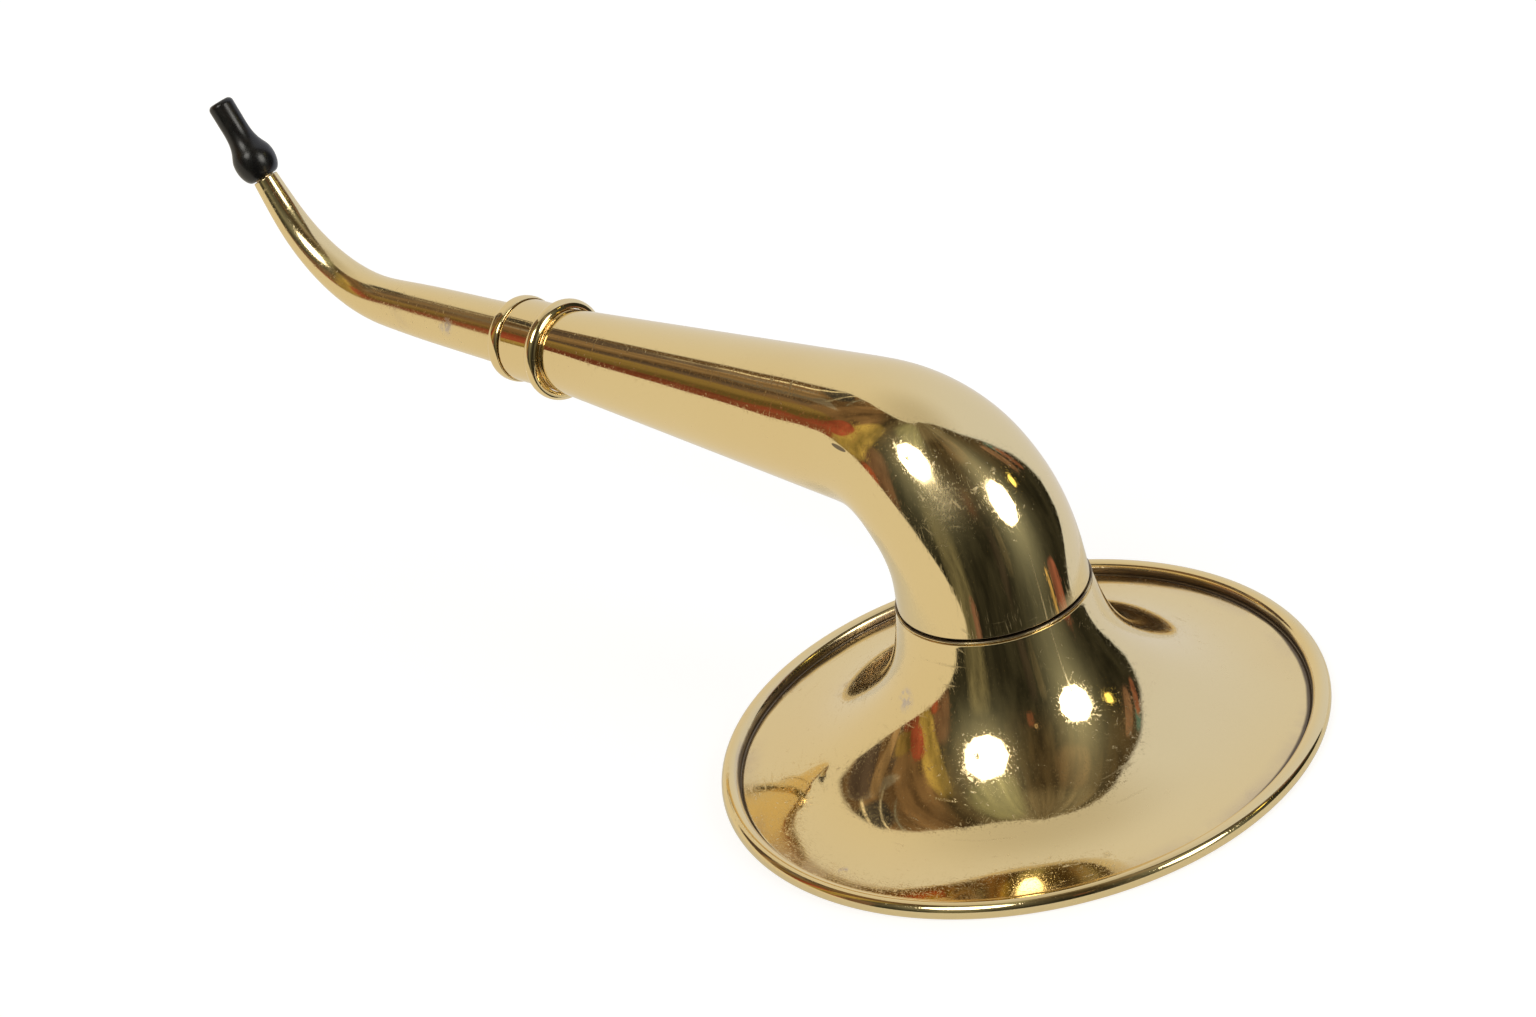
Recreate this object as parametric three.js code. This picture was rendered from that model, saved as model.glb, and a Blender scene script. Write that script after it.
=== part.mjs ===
// Ear trumpet: a spun brass bell that stands on its wired rim, a bent conical body tube plugged
// into the bell's neck, a turned ferrule, a thin bent ear tube and a hard rubber ear tip.
// Millimetres, +Z up. The tubes reach from the bell's axis towards -X, and the whole of their
// centre line lies in the plane y = 0.
import * as THREE from "three";
import { mergeVertices } from "three/addons/utils/BufferGeometryUtils.js";

// ---- Driving dimensions ----

const gap = 0.3; // clearance kept between neighbouring pieces
const bigSides = 48; // facets round the bell
const tubeSides = 32; // facets round the tubes and the ferrule
const tipSides = 20; // facets round the ear tip and its nipple
const elbowSteps = 10; // rings round each bend
const earBendSteps = 8;
const ringSpacing = 1; // smallest distance of such a ring from the end of a tube

// Bell: a trumpet flare that runs out into a flat dish with a rolled, wired rim
const bellRadius = 75;
const beadRadius = 2.25; // outside of the rolled rim
const restFlatWidth = 1.2; // flat worn on the underside of the rim
const sheet = 0.8; // thickness of the bell and the body tube
const wireRadius = 1.15;
const hemThickness = 0.7; // the sheet where it is rolled round the wire
const hemGapAngle = THREE.MathUtils.degToRad(17); // slot between the rolled edge and the dish
const hemRootAngle = THREE.MathUtils.degToRad(45); // where the roll begins, below the level of its middle
const meetDrop = 0.5; // where the dish meets the roll, below the middle of the rim
// The flare's outer face, from under the lip to the groove: radius and height above the middle of
// the rim. It flattens out all the way.
const flareStations = [
  [23.85, 39.8], [25.5, 32], [27.5, 25.9], [30, 21.05], [33, 16.95], [37, 12.8],
  [42, 8.7], [48, 4.9], [54, 2.25], [60, 0.65], [64, 0], [67, -0.35], [70, -0.6],
];
const flareSteps = 15;
const seamHeight = 41.3; // end of the body tube above the middle of the rim
const lipRadius = 23.95;
const lipRound = 0.35;

// Centre line of the tubes
const elbowRadius = 30;
const elbowRise = 5.8; // straight stretch between the seam and the elbow
const droop = THREE.MathUtils.degToRad(0.44); // fall of the long straight stretch
const earBendStart = 207.7; // distance from the bell's axis
const earBendRadius = 40.6;
const earRise = THREE.MathUtils.degToRad(62.3); // final direction above the horizontal
const routeEnd = 40; // spare length of route beyond the ear bend

// Body tube
const bodyEnd = 136.5; // distance from the bell's axis to its small end
const bodyEndRadius = 10.84;
const bodyTaper = 0.0705; // radius lost per millimetre
const elbowFullness = 1.75; // extra radius round the elbow
const fullnessEnds = [28, 56]; // stretch over which that extra dies away
const mouthTrim = 0.4; // radius taken off again at the tube's mouth
const mouthTrimLength = 22;

// Ferrule between the tubes: distances from the bell's axis
const sleeveEnd = 155.5;
const sleeveRadius = 10.75;
const sleeveSeatRadius = 10.15; // the step that the small bead sits on
const sleeveBore = 9.7;
const spigotLength = 10;
const spigotRadius = 9.8;
const spigotBore = 8.9;
const largeBead = { at: 139, width: 4, radius: 13.23 };
const smallBead = { at: 154.6, width: 3.5, radius: 11.35 };
const beadEdge = 0.35; // thickness of a bead at its edges
const beadLip = 0.5; // inward lip of the small bead over the end of the sleeve
const sleeveShoulder = 2; // step inside the sleeve, this far beyond the end of the body tube

// Ear tube, its tenon, the nipple at its end and the ear tip
const tenonRadius = 9.35;
const tenonBore = 8.57;
const earTubeSetBack = 1; // from the sleeve's step to the root of the ear tube
const earRootRadius = 8.21;
const earWall = 0.6;
const earTaper = 0.0237; // radius lost per millimetre before the bend
const earTaperInBend = 0.0555;
const earKnee = 36; // distance past the ferrule where the taper quickens
const earKneeSoftness = 8;
const earTubeBeyondBend = 9.6; // straight stretch after the ear bend
const nippleRadius = 2.65;
const nippleBore = 1.9;
const nippleLengths = [6.4, 10.5]; // inside the ear tube, inside the ear tip
const tipLength = 23.5;
const tipBore = 3.0;
const tipBoreSpare = 1; // bore beyond the end of the nipple
const tipSoundHole = 1.5;
const tipEndRound = 1.4;
const tipShankRadius = 3.57;
// Control points of the ear tip's profile, each a radius and a height above its base
const tipBulbCurve = [[3.45, 0], [5.6, 0.4], [6.6, 5.4], [5.1, 8.2]];
const tipNeckCurve = [[5.1, 8.2], [4.3, 9.8], [3.57, 11.2], [3.52, 15.2]];

// Joint between the bell's neck and the body tube
const neckTenonRadius = 21.9;
const neckTenonWall = 0.8;
const neckTenonLengths = [11, 9]; // below the seam, above the seam
const neckSocketBore = 22.3;
const neckSocketRadii = [24.4, 22.7]; // at the bottom, at the top: it fits the taper of the neck
const neckSocketHeight = 10;
const neckSocketDrop = 1; // below the seam

// ---- Materials ----

const polishedBrass = { color: 0xc8a65a, metalness: 1, roughness: 0.12 };
const turnedBrass = { color: 0xc09a4e, metalness: 1, roughness: 0.2 };
const iron = { color: 0x5a5550, metalness: 1, roughness: 0.5 };
const ebonite = { color: 0x0b0b0c, metalness: 0, roughness: 0.3 };

function piece(name, geometry, look) {
  const mesh = new THREE.Mesh(geometry, new THREE.MeshStandardMaterial(look));
  mesh.name = name;
  return mesh;
}

// ---- Helpers ----

// Points of an arc from one angle to another, both ends included, in profile coordinates.
function arc(centreX, centreY, radius, from, to, steps) {
  const points = [];
  for (let i = 0; i <= steps; i++) {
    const angle = from + ((to - from) * i) / steps;
    const offset = new THREE.Vector2(Math.cos(angle), Math.sin(angle)).multiplyScalar(radius);
    points.push(offset.add(new THREE.Vector2(centreX, centreY)));
  }
  return points;
}

// A body of revolution about +Y. The outline runs anticlockwise in (radius, height) and closes on
// itself, so its faces point outwards. Vertices on the lathe's seam are shared.
function turned(outline, sides) {
  const lathe = new THREE.LatheGeometry([...outline, outline[0].clone()], sides);
  lathe.deleteAttribute("normal");
  lathe.deleteAttribute("uv");
  const merged = mergeVertices(lathe, 1e-4);
  merged.computeVertexNormals();
  return merged;
}

// Outline of a plain sleeve between two heights.
function sleeveOutline(bore, radius, low, high) {
  return [
    new THREE.Vector2(bore, low),
    new THREE.Vector2(radius, low),
    new THREE.Vector2(radius, high),
    new THREE.Vector2(bore, high),
  ];
}

// ---- Centre line of the tubes, in (reach, height): reach is the distance from the bell's axis ----

const beadCentreHeight = Math.sqrt(beadRadius ** 2 - (restFlatWidth / 2) ** 2);
const seamZ = beadCentreHeight + seamHeight;
const elbowZ = seamZ + elbowRise;

function buildRoute() {
  const route = new THREE.CurvePath();
  const along = new THREE.Vector2(Math.cos(droop), -Math.sin(droop));
  const across = new THREE.Vector2(Math.sin(droop), Math.cos(droop));

  route.add(new THREE.LineCurve(new THREE.Vector2(0, seamZ), new THREE.Vector2(0, elbowZ)));
  const elbow = new THREE.EllipseCurve(
    elbowRadius, elbowZ, elbowRadius, elbowRadius, Math.PI, Math.PI / 2 - droop, true);
  route.add(elbow);

  const elbowEnd = elbow.getPoint(1);
  const straight = (earBendStart - elbowEnd.x) / along.x;
  const bendStart = elbowEnd.clone().addScaledVector(along, straight);
  route.add(new THREE.LineCurve(elbowEnd, bendStart));

  const centre = bendStart.clone().addScaledVector(across, earBendRadius);
  const bend = new THREE.EllipseCurve(
    centre.x, centre.y, earBendRadius, earBendRadius, -Math.PI / 2 - droop, earRise - Math.PI / 2, false);
  route.add(bend);

  const bendEnd = bend.getPoint(1);
  const outwards = new THREE.Vector2(Math.cos(earRise), Math.sin(earRise));
  route.add(new THREE.LineCurve(bendEnd, bendEnd.clone().addScaledVector(outwards, routeEnd)));
  return route;
}

const route = buildRoute();
const routeLength = route.getLength();
const [elbowStartAt, elbowEndAt, earBendAt, earBendEndAt] = route.getCurveLengths();

// Distance along the route of a point on the long straight stretch, given its reach.
function atReach(reach) {
  return earBendAt - (earBendStart - reach) / Math.cos(droop);
}

// Position and direction at a distance along the route.
function stationAt(distance) {
  const point = route.getPoint(distance / routeLength);
  const tangent = route.getTangent(distance / routeLength);
  return {
    position: new THREE.Vector3(-point.x, 0, point.y),
    direction: new THREE.Vector3(-tangent.x, 0, tangent.y),
  };
}

// Stands a turned piece, whose height runs along +Y, on the route.
function placeOnRoute(mesh, distance) {
  const { position, direction } = stationAt(distance);
  mesh.position.copy(position);
  mesh.quaternion.setFromUnitVectors(new THREE.Vector3(0, 1, 0), direction);
  return mesh;
}

// Bends a turned piece, whose height is a distance along the route, to follow the route.
function bentAlongRoute(geometry) {
  const vertices = geometry.attributes.position;
  const side = new THREE.Vector3(0, 1, 0);
  const up = new THREE.Vector3();
  const moved = new THREE.Vector3();
  for (let i = 0; i < vertices.count; i++) {
    const { position, direction } = stationAt(vertices.getY(i));
    up.crossVectors(direction, side);
    moved.copy(position).addScaledVector(up, vertices.getX(i)).addScaledVector(side, vertices.getZ(i));
    vertices.setXYZ(i, moved.x, moved.y, moved.z);
  }
  geometry.computeVertexNormals();
  return geometry;
}

// Distances at which a tube's wall needs a ring: its ends, and steps round each bend.
function ringsBetween(from, to) {
  const bends = [
    { start: elbowStartAt, end: elbowEndAt, steps: elbowSteps },
    { start: earBendAt, end: earBendEndAt, steps: earBendSteps },
  ];
  const rings = [from];
  for (const bend of bends) {
    for (let i = 0; i <= bend.steps; i++) {
      const distance = THREE.MathUtils.lerp(bend.start, bend.end, i / bend.steps);
      if (distance > from + ringSpacing && distance < to - ringSpacing) rings.push(distance);
    }
  }
  rings.push(to);
  return rings;
}

// An open-ended tube that follows the route, with its outer radius given by a function.
function routedTube(from, to, radiusAt, wall, sides) {
  const rings = ringsBetween(from, to);
  const outside = rings.map((distance) => new THREE.Vector2(radiusAt(distance), distance));
  const inside = rings.map((distance) => new THREE.Vector2(radiusAt(distance) - wall, distance));
  return bentAlongRoute(turned([...outside, ...inside.reverse()], sides));
}

// ---- Bell ----

const beadCentre = bellRadius - beadRadius;
const flare = new THREE.SplineCurve(flareStations.map((station) => new THREE.Vector2(...station)));

// Points of the flare at a depth below its outer face, from the neck outwards.
function flarePoints(depth) {
  const points = [];
  for (let i = 0; i <= flareSteps; i++) {
    const tangent = flare.getTangent(i / flareSteps);
    const inwards = new THREE.Vector2(tangent.y, -tangent.x);
    points.push(flare.getPoint(i / flareSteps).addScaledVector(inwards, depth));
  }
  return points;
}

function bellGeometry() {
  const outerFace = flarePoints(0);
  const innerFace = flarePoints(sheet);

  const meet = Math.PI + Math.asin(meetDrop / beadRadius);
  const hemInside = beadRadius - hemThickness;
  const insideMeet = Math.PI + hemRootAngle;
  const hemEnd = insideMeet - 2 * Math.PI + hemGapAngle;
  const flatHalfAngle = Math.asin(restFlatWidth / 2 / beadRadius);
  const outerBead = [
    ...arc(beadCentre, 0, beadRadius, meet, 0, 8),
    ...arc(beadCentre, 0, beadRadius, 0, -Math.PI / 2 + flatHalfAngle, 4).slice(1),
    ...arc(beadCentre, 0, beadRadius, -Math.PI / 2 - flatHalfAngle, hemEnd, 2),
  ];
  const innerBead = arc(beadCentre, 0, hemInside, hemEnd, insideMeet, 11);

  const lipTop = seamHeight - gap;
  const lip = arc(lipRadius - lipRound, lipTop - lipRound, lipRound, -Math.PI / 3, Math.PI / 2, 4);
  const neckBore = new THREE.Vector2(innerFace[0].x, lipTop);

  const outside = [neckBore, ...lip.reverse(), ...outerFace, ...outerBead];
  const inside = [...innerBead, ...innerFace.reverse()];
  return turned([...outside, ...inside].reverse(), bigSides);
}

// The bell and its wire are turned about +Y and stood up along +Z.
function standUp(mesh) {
  mesh.rotation.x = Math.PI / 2;
  mesh.position.z = beadCentreHeight;
  return mesh;
}

const bell = standUp(piece("bell", bellGeometry(), polishedBrass));
const wireOutline = arc(beadCentre, 0, wireRadius, 0, 2 * Math.PI, 8).slice(0, -1);
const rimWire = standUp(piece("rim_wire", turned(wireOutline, bigSides), iron));

// ---- Joint in the neck: a socket ring soldered into the bell, a tenon soldered into the tube ----

function neckSocketGeometry() {
  const top = seamHeight - neckSocketDrop;
  const bottom = top - neckSocketHeight;
  const [bottomRadius, topRadius] = neckSocketRadii;
  return turned([
    new THREE.Vector2(neckSocketBore, bottom),
    new THREE.Vector2(bottomRadius, bottom),
    new THREE.Vector2(topRadius, top),
    new THREE.Vector2(neckSocketBore, top),
  ], tubeSides);
}

const neckSocket = standUp(piece("neck_socket", neckSocketGeometry(), turnedBrass));

const [tenonBelow, tenonAbove] = neckTenonLengths;
const neckTenonOutline = sleeveOutline(
  neckTenonRadius - neckTenonWall, neckTenonRadius, seamHeight - tenonBelow, seamHeight + tenonAbove);
const neckTenon = standUp(piece("neck_tenon", turned(neckTenonOutline, tubeSides), turnedBrass));

// ---- Body tube ----

const bodyEndAt = atReach(bodyEnd);

function bodyRadius(distance) {
  const cone = bodyEndRadius + bodyTaper * (bodyEndAt - distance);
  const fullness = elbowFullness * (1 - THREE.MathUtils.smoothstep(distance, ...fullnessEnds));
  const trim = mouthTrim * (1 - THREE.MathUtils.smoothstep(distance, 0, mouthTrimLength));
  return cone + fullness - trim;
}

const bodyTube = piece("body_tube", routedTube(0, bodyEndAt, bodyRadius, sheet, tubeSides), polishedBrass);

// ---- Ferrule: a sleeve with a spigot in the body tube, and two turned beads round it ----

// Outline of the sleeve, with heights measured from the end of the body tube.
function ferruleSleeveOutline() {
  const end = sleeveEnd - bodyEnd;
  const seat = smallBead.at - smallBead.width / 2 - gap - bodyEnd;
  return [
    new THREE.Vector2(spigotBore, -spigotLength),
    new THREE.Vector2(spigotRadius, -spigotLength),
    new THREE.Vector2(spigotRadius, gap),
    new THREE.Vector2(sleeveRadius, gap),
    new THREE.Vector2(sleeveRadius, seat),
    new THREE.Vector2(sleeveSeatRadius, seat),
    new THREE.Vector2(sleeveSeatRadius, end),
    new THREE.Vector2(sleeveBore, end),
    new THREE.Vector2(sleeveBore, sleeveShoulder),
    new THREE.Vector2(spigotBore, sleeveShoulder),
  ];
}

// Outline of a ring with a rounded outside, centred on height 0. A lip may close its upper end.
function beadOutline(bead, bore, lipBore) {
  const half = bead.width / 2;
  const crown = bead.radius - bore - beadEdge;
  const outside = [];
  const steps = 8;
  for (let i = 0; i <= steps; i++) {
    const angle = -Math.PI / 2 + (Math.PI * i) / steps;
    outside.push(new THREE.Vector2(bead.radius - crown * (1 - Math.cos(angle)), half * Math.sin(angle)));
  }
  if (lipBore === undefined) {
    return [new THREE.Vector2(bore, -half), ...outside, new THREE.Vector2(bore, half)];
  }
  return [
    new THREE.Vector2(bore, -half),
    ...outside,
    new THREE.Vector2(lipBore, half),
    new THREE.Vector2(lipBore, half - beadLip),
    new THREE.Vector2(bore, half - beadLip),
  ];
}

const ferruleSleeve = placeOnRoute(
  piece("ferrule_sleeve", turned(ferruleSleeveOutline(), tubeSides), turnedBrass), bodyEndAt);
const ferruleBeadLarge = placeOnRoute(
  piece("ferrule_bead_large", turned(beadOutline(largeBead, sleeveRadius + gap), tubeSides), polishedBrass),
  atReach(largeBead.at));
const smallBeadOutline = beadOutline(smallBead, sleeveSeatRadius + gap, sleeveBore);
const ferruleBeadSmall = placeOnRoute(
  piece("ferrule_bead_small", turned(smallBeadOutline, tubeSides), polishedBrass), atReach(smallBead.at));

// ---- Ear tube, with a straight tenon round its root ----

const mouth = smallBead.at + smallBead.width / 2; // outer face of the ferrule
const shoulderReach = bodyEnd + sleeveShoulder;
const earTubeStartAt = atReach(shoulderReach + earTubeSetBack);
const earTubeEndAt = earBendEndAt + earTubeBeyondBend;

function earRadius(distance) {
  const past = Math.max(0, distance - atReach(mouth));
  const beyondKnee = past - earKnee;
  const softened = (beyondKnee + Math.sqrt(beyondKnee ** 2 + earKneeSoftness ** 2)) / 2;
  return earRootRadius - earTaper * past - (earTaperInBend - earTaper) * softened;
}

const earTenonOutline = sleeveOutline(tenonBore, tenonRadius, 0, mouth - shoulderReach - gap);
const earTenon = placeOnRoute(
  piece("ear_tenon", turned(earTenonOutline, tubeSides), turnedBrass), atReach(shoulderReach + gap));

const earTube = piece(
  "ear_tube", routedTube(earTubeStartAt, earTubeEndAt, earRadius, earWall, tubeSides), polishedBrass);

// ---- Nipple and ear tip ----

const [nippleInTube, nippleInTip] = nippleLengths;
const nippleOutline = sleeveOutline(nippleBore, nippleRadius, -nippleInTube, nippleInTip);
const earNipple = placeOnRoute(
  piece("ear_nipple", turned(nippleOutline, tipSides), turnedBrass), earTubeEndAt);

// Points along a Bezier curve given by its four control points.
function bezier(controls, steps) {
  const points = controls.map(([radius, height]) => new THREE.Vector2(radius, height));
  return new THREE.CubicBezierCurve(...points).getPoints(steps);
}

// Outline of the ear tip: a bulb on the seat, a straight shank and a rounded end.
function earTipOutline() {
  const boreEnd = nippleInTip + tipBoreSpare;
  return [
    new THREE.Vector2(tipBore, 0),
    ...bezier(tipBulbCurve, 7),
    ...bezier(tipNeckCurve, 5).slice(1),
    ...arc(tipShankRadius - tipEndRound, tipLength - tipEndRound, tipEndRound, 0, Math.PI / 2, 4),
    new THREE.Vector2(tipSoundHole, tipLength),
    new THREE.Vector2(tipSoundHole, boreEnd),
    new THREE.Vector2(tipBore, boreEnd),
  ];
}

const earTip = placeOnRoute(
  piece("ear_tip", turned(earTipOutline(), tipSides), ebonite), earTubeEndAt + gap);

// ---- Assembly: each group turns in, or pulls out of, the one that holds it ----

const earTubeGroup = new THREE.Group();
earTubeGroup.add(earTenon, earTube, earNipple, earTip);

const bodyGroup = new THREE.Group();
bodyGroup.add(neckTenon, bodyTube, ferruleSleeve, ferruleBeadLarge, ferruleBeadSmall, earTubeGroup);

const trumpet = new THREE.Group();
trumpet.add(bell, rimWire, neckSocket, bodyGroup);

// The origin is the middle of the whole object's footprint, on the surface that the rim stands on.
const extent = new THREE.Box3().setFromObject(trumpet, true);
trumpet.position.x = -(extent.min.x + extent.max.x) / 2;
trumpet.position.y = -(extent.min.y + extent.max.y) / 2;
trumpet.position.z = -extent.min.z;

const model = new THREE.Group();
model.add(trumpet);
export default model;
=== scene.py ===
import math

import bpy
import numpy as np
from mathutils import Matrix, Vector


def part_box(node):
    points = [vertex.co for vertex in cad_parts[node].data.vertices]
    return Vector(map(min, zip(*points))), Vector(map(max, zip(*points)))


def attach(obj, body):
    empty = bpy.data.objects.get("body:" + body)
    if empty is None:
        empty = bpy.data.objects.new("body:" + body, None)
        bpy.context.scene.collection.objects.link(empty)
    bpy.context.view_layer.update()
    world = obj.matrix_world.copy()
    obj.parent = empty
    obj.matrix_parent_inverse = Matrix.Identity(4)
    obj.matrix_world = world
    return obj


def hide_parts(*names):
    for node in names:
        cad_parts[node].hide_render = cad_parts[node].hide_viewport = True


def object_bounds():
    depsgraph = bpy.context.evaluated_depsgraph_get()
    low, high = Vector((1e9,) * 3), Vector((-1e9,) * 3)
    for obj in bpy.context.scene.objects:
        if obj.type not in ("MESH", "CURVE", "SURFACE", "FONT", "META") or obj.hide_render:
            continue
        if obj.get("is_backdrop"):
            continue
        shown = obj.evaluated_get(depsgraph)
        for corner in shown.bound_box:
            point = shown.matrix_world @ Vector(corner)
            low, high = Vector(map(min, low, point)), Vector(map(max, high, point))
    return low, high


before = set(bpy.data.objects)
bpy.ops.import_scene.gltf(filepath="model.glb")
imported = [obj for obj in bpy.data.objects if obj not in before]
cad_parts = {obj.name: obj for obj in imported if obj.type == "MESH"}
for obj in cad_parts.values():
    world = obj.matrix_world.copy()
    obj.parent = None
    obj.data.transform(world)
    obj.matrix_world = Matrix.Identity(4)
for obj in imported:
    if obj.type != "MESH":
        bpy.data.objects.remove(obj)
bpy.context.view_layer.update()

# ---- Places taken from the frame, in metres ----

bell_low, bell_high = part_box("bell")
AXIS_X = (bell_low.x + bell_high.x) / 2  # the bell's axis stands over this point, at y = 0

# ---- Dimensions of the pieces, in millimetres ----

MM = 0.001
GAP = 0.3
BELL_RADIUS = 75.0
BEAD_RADIUS = 2.25
REST_FLAT = 1.2
HEM_BORE = 0.7  # sheet round the wire
HEM_ROOT = math.radians(45)  # where the hem's inside leaves the flare, past the rim's inner side
HEM_OPEN = math.radians(17)  # left open between the hem's end and the flare
MEET_DROP = 0.5  # the flare runs into the rim this far above its middle
SHEET = 0.8
BEAD_CENTRE = BELL_RADIUS - BEAD_RADIUS
BEAD_HEIGHT = math.sqrt(BEAD_RADIUS**2 - (REST_FLAT / 2) ** 2)
FLARE = [(23.85, 39.77), (25.5, 32.03), (27.5, 25.91), (30, 21.06), (33, 16.94), (37, 12.78), (42, 8.69),
         (48, 4.88), (54, 2.24), (60, 0.64), (64, -0.02), (67, -0.36), (70, -0.61)]
SEAM_HEIGHT = 41.3
SEAM_Z = BEAD_HEIGHT + SEAM_HEIGHT
LIP_RADIUS = 23.95
LIP_ROUND = 0.35

ELBOW_RADIUS = 30.0
ELBOW_RISE = 5.8  # straight part between the seam and the elbow
DROOP = math.radians(0.44)  # the cone falls this much towards the ear tube
EAR_BEND_START = 207.7
EAR_BEND_RADIUS = 40.6
EAR_RISE = math.radians(62.3)
BEND_EASE = 9  # half the length over which a bend's beginning and end are drawn out
ROUTE_STEP = 0.05
ROUTE_SPARE = 45  # route kept beyond the last bend
DRIFT_EASE = 6  # half the length over which the route's small correction is smoothed
PAST_BEND, PAST_LAST_BEND = 12, 8  # where the eased route is put back on the exact one

BODY_END = 136.5
BODY_END_RADIUS = 10.84
BODY_TAPER = 0.0705
ELBOW_SWELL = (1.75, 28, 56)  # added radius, gone between these distances from the seam
NECK_WAIST = (0.4, 0, 22)  # taken off in the same way
SLEEVE_RADIUS = 10.75
SLEEVE_END = 155.5
SEAT_RADIUS = 10.15
BEADS = {"large": (139.0, 4.0, 13.23), "small": (154.6, 3.5, 11.35)}
EAR_ROOT_RADIUS = 8.21
EAR_TAPERS = (0.0237, 0.0555)  # before and after the knee
EAR_KNEE, KNEE_EASE = 36, 8
EAR_BEYOND = 9.6  # straight part past the bend
EAR_SHEET = 0.6
EAR_INSIDE = 3  # the ear tube begins this far inside the ferrule
SPIGOT_RADIUS, SPIGOT_BORE, SPIGOT_LENGTH = 9.8, 8.9, 10  # the ferrule's part inside the cone
FERRULE_BORE = 9.7
FERRULE_FLOOR = 2  # the wider bore begins here, past the cone's end
EASE = 0.15  # broken edges of turned pieces
BEAD_SHOULDER = 0.35  # straight part of a bead's side
LIP_THICK = 0.5
BELL_SIDES, BODY_SIDES, SMALL_SIDES, TIP_SIDES = 384, 224, 160, 96  # points round each piece

# ---- Mesh code ----


def new_object(name, verts, faces, body, smooth=True):
    mesh = bpy.data.meshes.new(name)
    mesh.from_pydata([tuple(v) for v in verts], [], faces)
    mesh.update()
    if smooth:
        mesh.shade_smooth()
    obj = bpy.data.objects.new(name, mesh)
    bpy.context.scene.collection.objects.link(obj)
    if body:
        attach(obj, body)
    return obj


def ring_faces(rings, sides):
    """Quads between closed rings, the last ring joined to the first."""
    faces = []
    for j in range(rings):
        k = (j + 1) % rings
        for i in range(sides):
            n = (i + 1) % sides
            faces.append((j * sides + i, k * sides + i, k * sides + n, j * sides + n))
    return faces


def turned(name, profile, sides, body, place):
    """A piece turned round an axis. profile runs anticlockwise in (radius, height), in mm, and closes on
    itself. place(radius, height, cos, sin) gives the points of one ring."""
    angle = np.linspace(0, 2 * math.pi, sides, endpoint=False)
    c, s = np.cos(angle), np.sin(angle)
    verts = np.vstack([place(r, h, c, s) for r, h in profile])
    return new_object(name, verts * MM, ring_faces(len(profile), sides), body)


def upright(r, h, c, s):
    """Rings round the bell's axis, with heights above the middle of the rim."""
    return np.c_[AXIS_X / MM + r * c, r * s, np.full_like(c, h + BEAD_HEIGHT)]


def arc(cx, cy, r, start, end, steps):
    return [(cx + r * math.cos(a), cy + r * math.sin(a)) for a in np.linspace(start, end, steps + 1)]


def bezier(points, steps):
    p = np.array(points, float)
    t = np.linspace(0, 1, steps + 1)[:, None]
    curve = (1 - t) ** 3 * p[0] + 3 * (1 - t) ** 2 * t * p[1] + 3 * (1 - t) * t**2 * p[2] + t**3 * p[3]
    return [tuple(q) for q in curve]


# ---- Centre line of the tubes ----


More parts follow.
